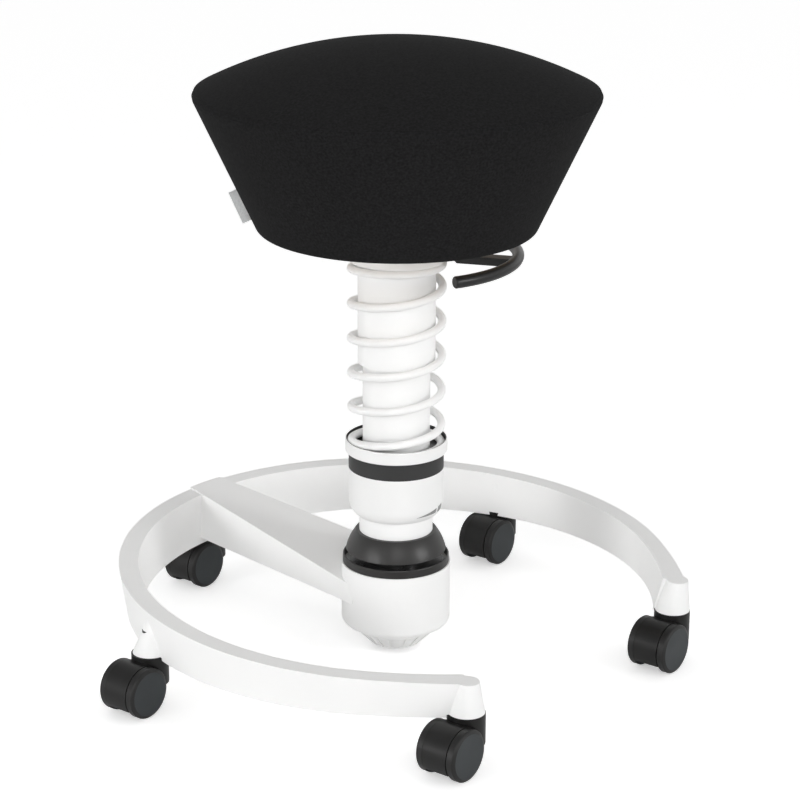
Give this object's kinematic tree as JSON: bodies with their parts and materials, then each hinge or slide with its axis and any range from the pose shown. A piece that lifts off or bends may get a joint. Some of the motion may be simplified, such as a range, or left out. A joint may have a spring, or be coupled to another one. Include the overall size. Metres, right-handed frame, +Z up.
{
  "type": "wobble stool",
  "caption": "Height-adjustable active stool: cone-shaped padded seat on a sprung telescopic column that leans in a rubber-mounted pivot, open C-ring base on castors.",
  "frame": {"origin": "on the floor under the castors, on the upright column's axis", "axes": "+Z up, +Y along the base's arm from the column to the ring, the ring's open side towards -Y, +X to the right seen from the open side"},
  "size_m": [0.6124, 0.5654, 0.6382],
  "materials": {
    "white_paint": "smooth satin powder coat, white",
    "white_plastic": "moulded white plastic, fine texture",
    "rubber_black": "matt black rubber with a soft sheen",
    "castor_plastic": "black moulded nylon",
    "wheel_plastic": "dark grey nylon, slightly blue faces",
    "bush_plastic": "natural acetal",
    "steel": "bright zinc-plated steel",
    "black_steel": "black painted steel",
    "lever_plastic": "black moulded plastic with a satin sheen",
    "plywood": "plain moulded plywood",
    "seat_fabric": "close-woven dark grey wool felt",
    "tag_textile": "plain woven grey tape"
  },
  "bodies": {
    "base": {"base_casting": "white_paint", "castor_sockets": "castor_plastic", "bearing_cup": "black_steel", "bearing_cap": "black_steel", "cap_screws": "black_steel", "flex_buffer": "rubber_black", "boot_ring": "rubber_black"},
    "knob": {"firmness_knob": "white_plastic", "knob_spindle": "steel", "knob_clip": "steel"},
    "plate": {"pressure_plate": "steel"},
    "liner": {"bearing_liner": "rubber_black"},
    "column": {"pivot_stem": "steel", "stem_nut": "steel", "boot_dome": "rubber_black", "column_neck": "white_paint", "lower_tube": "white_paint", "inner_bush": "bush_plastic", "spring_seat": "black_steel", "coil_spring": "white_paint"},
    "cup": {"spring_cup": "white_paint"},
    "slider": {"upper_tube": "white_paint", "guide_bush": "bush_plastic", "bump_stop": "rubber_black", "spring_flange": "white_paint", "stand_tube": "black_steel", "top_bush": "bush_plastic", "thrust_bearing": "steel"},
    "rod": {"gas_rod": "steel", "rod_clip": "steel"},
    "seat": {"gas_cylinder": "black_steel", "seat_hub": "steel", "seat_pan": "plywood", "pan_screws": "steel", "seat_cushion": "seat_fabric", "seat_tag": "tag_textile", "lever_pin": "steel"},
    "button": {"release_button": "steel"},
    "lever": {"release_lever": "lever_plastic"},
    "castor_rear": {"castor_rear_housing": "castor_plastic", "castor_rear_pins": "steel"},
    "castor_rear_a": {"castor_rear_wheel_a": "wheel_plastic"},
    "castor_rear_b": {"castor_rear_wheel_b": "wheel_plastic"},
    "castor_left_side": {"castor_left_side_housing": "castor_plastic", "castor_left_side_pins": "steel"},
    "castor_left_side_a": {"castor_left_side_wheel_a": "wheel_plastic"},
    "castor_left_side_b": {"castor_left_side_wheel_b": "wheel_plastic"},
    "castor_right_side": {"castor_right_side_housing": "castor_plastic", "castor_right_side_pins": "steel"},
    "castor_right_side_a": {"castor_right_side_wheel_a": "wheel_plastic"},
    "castor_right_side_b": {"castor_right_side_wheel_b": "wheel_plastic"},
    "castor_left_front": {"castor_left_front_housing": "castor_plastic", "castor_left_front_pins": "steel"},
    "castor_left_front_a": {"castor_left_front_wheel_a": "wheel_plastic"},
    "castor_left_front_b": {"castor_left_front_wheel_b": "wheel_plastic"},
    "castor_right_front": {"castor_right_front_housing": "castor_plastic", "castor_right_front_pins": "steel"},
    "castor_right_front_a": {"castor_right_front_wheel_a": "wheel_plastic"},
    "castor_right_front_b": {"castor_right_front_wheel_b": "wheel_plastic"}
  },
  "joints": [
    {"name": "knob_turn", "type": "hinge", "parent": "base", "child": "knob", "pos_m": [0, 0, 0.028], "axis": [0, 0, 1], "range_deg": [0, 540]},
    {"name": "plate_slide", "type": "slide", "parent": "base", "child": "plate", "axis": [0, 0, 1], "range_m": [-0.0046, 0]},
    {"name": "tilt_x", "type": "hinge", "parent": "base", "child": "liner", "pos_m": [0, 0, 0.098], "axis": [1, 0, 0], "range_deg": [-10, 10], "stiffness_Nm_per_rad": 450},
    {"name": "tilt_y", "type": "hinge", "parent": "liner", "child": "column", "pos_m": [0, 0, 0.098], "axis": [0, 1, 0], "range_deg": [-10, 10], "stiffness_Nm_per_rad": 450},
    {"name": "cup_turn", "type": "hinge", "parent": "column", "child": "cup", "pos_m": [0, 0, 0.19], "axis": [0, 0, 1], "range_deg": [0, 270]},
    {"name": "bounce", "type": "slide", "parent": "column", "child": "slider", "axis": [0, 0, 1], "range_m": [-0.05, 0], "stiffness_N_per_m": 9000, "springref_m": 0.02, "deforming": ["coil_spring"]},
    {"name": "seat_swivel", "type": "hinge", "parent": "slider", "child": "rod", "pos_m": [0, 0, 0.3], "axis": [0, 0, 1], "continuous": true},
    {"name": "seat_height", "type": "slide", "parent": "rod", "child": "seat", "axis": [0, 0, 1], "range_m": [0, 0.12]},
    {"name": "lever_lift", "type": "hinge", "parent": "seat", "child": "lever", "pos_m": [0.01362, -0.02673, 0.442], "axis": [-0.891, -0.454, 0], "range_deg": [0, 5.2], "stiffness_Nm_per_rad": 3, "springref_deg": -5.73},
    {"name": "button_push", "type": "slide", "parent": "seat", "child": "button", "axis": [0, 0, 1], "range_m": [-0.0028, 0], "stiffness_N_per_m": 300},
    {"name": "castor_rear_swivel", "type": "hinge", "parent": "base", "child": "castor_rear", "pos_m": [0, 0.2813, 0.06], "axis": [0, 0, 1], "continuous": true},
    {"name": "castor_rear_roll_a", "type": "hinge", "parent": "castor_rear", "child": "castor_rear_a", "pos_m": [-0.02474, 0.27961, 0.0256], "axis": [0.068, -0.9977, 0], "continuous": true},
    {"name": "castor_rear_roll_b", "type": "hinge", "parent": "castor_rear", "child": "castor_rear_b", "pos_m": [-0.02474, 0.27961, 0.0256], "axis": [0.068, -0.9977, 0], "continuous": true},
    {"name": "castor_left_side_swivel", "type": "hinge", "parent": "base", "child": "castor_left_side", "pos_m": [-0.27113, 0.08323, 0.06], "axis": [0, 0, 1], "continuous": true},
    {"name": "castor_left_side_roll_a", "type": "hinge", "parent": "castor_left_side", "child": "castor_left_side_a", "pos_m": [-0.29587, 0.08154, 0.0256], "axis": [0.068, -0.9977, 0], "continuous": true},
    {"name": "castor_left_side_roll_b", "type": "hinge", "parent": "castor_left_side", "child": "castor_left_side_b", "pos_m": [-0.29587, 0.08154, 0.0256], "axis": [0.068, -0.9977, 0], "continuous": true},
    {"name": "castor_right_side_swivel", "type": "hinge", "parent": "base", "child": "castor_right_side", "pos_m": [0.27113, 0.08323, 0.06], "axis": [0, 0, 1], "continuous": true},
    {"name": "castor_right_side_roll_a", "type": "hinge", "parent": "castor_right_side", "child": "castor_right_side_a", "pos_m": [0.24638, 0.08154, 0.0256], "axis": [0.068, -0.9977, 0], "continuous": true},
    {"name": "castor_right_side_roll_b", "type": "hinge", "parent": "castor_right_side", "child": "castor_right_side_b", "pos_m": [0.24638, 0.08154, 0.0256], "axis": [0.068, -0.9977, 0], "continuous": true},
    {"name": "castor_left_front_swivel", "type": "hinge", "parent": "base", "child": "castor_left_front", "pos_m": [-0.16365, -0.23615, 0.06], "axis": [0, 0, 1], "continuous": true},
    {"name": "castor_left_front_roll_a", "type": "hinge", "parent": "castor_left_front", "child": "castor_left_front_a", "pos_m": [-0.18839, -0.23783, 0.0256], "axis": [0.068, -0.9977, 0], "continuous": true},
    {"name": "castor_left_front_roll_b", "type": "hinge", "parent": "castor_left_front", "child": "castor_left_front_b", "pos_m": [-0.18839, -0.23783, 0.0256], "axis": [0.068, -0.9977, 0], "continuous": true},
    {"name": "castor_right_front_swivel", "type": "hinge", "parent": "base", "child": "castor_right_front", "pos_m": [0.16365, -0.23615, 0.06], "axis": [0, 0, 1], "continuous": true},
    {"name": "castor_right_front_roll_a", "type": "hinge", "parent": "castor_right_front", "child": "castor_right_front_a", "pos_m": [0.1389, -0.23783, 0.0256], "axis": [0.068, -0.9977, 0], "continuous": true},
    {"name": "castor_right_front_roll_b", "type": "hinge", "parent": "castor_right_front", "child": "castor_right_front_b", "pos_m": [0.1389, -0.23783, 0.0256], "axis": [0.068, -0.9977, 0], "continuous": true}
  ],
  "couplings": [
    {"joint": "plate_slide", "follows": "knob_turn", "m_per_rad": -0.00047746},
    {"joint": "button_push", "follows": "lever_lift", "m_per_rad": -0.03}
  ]
}
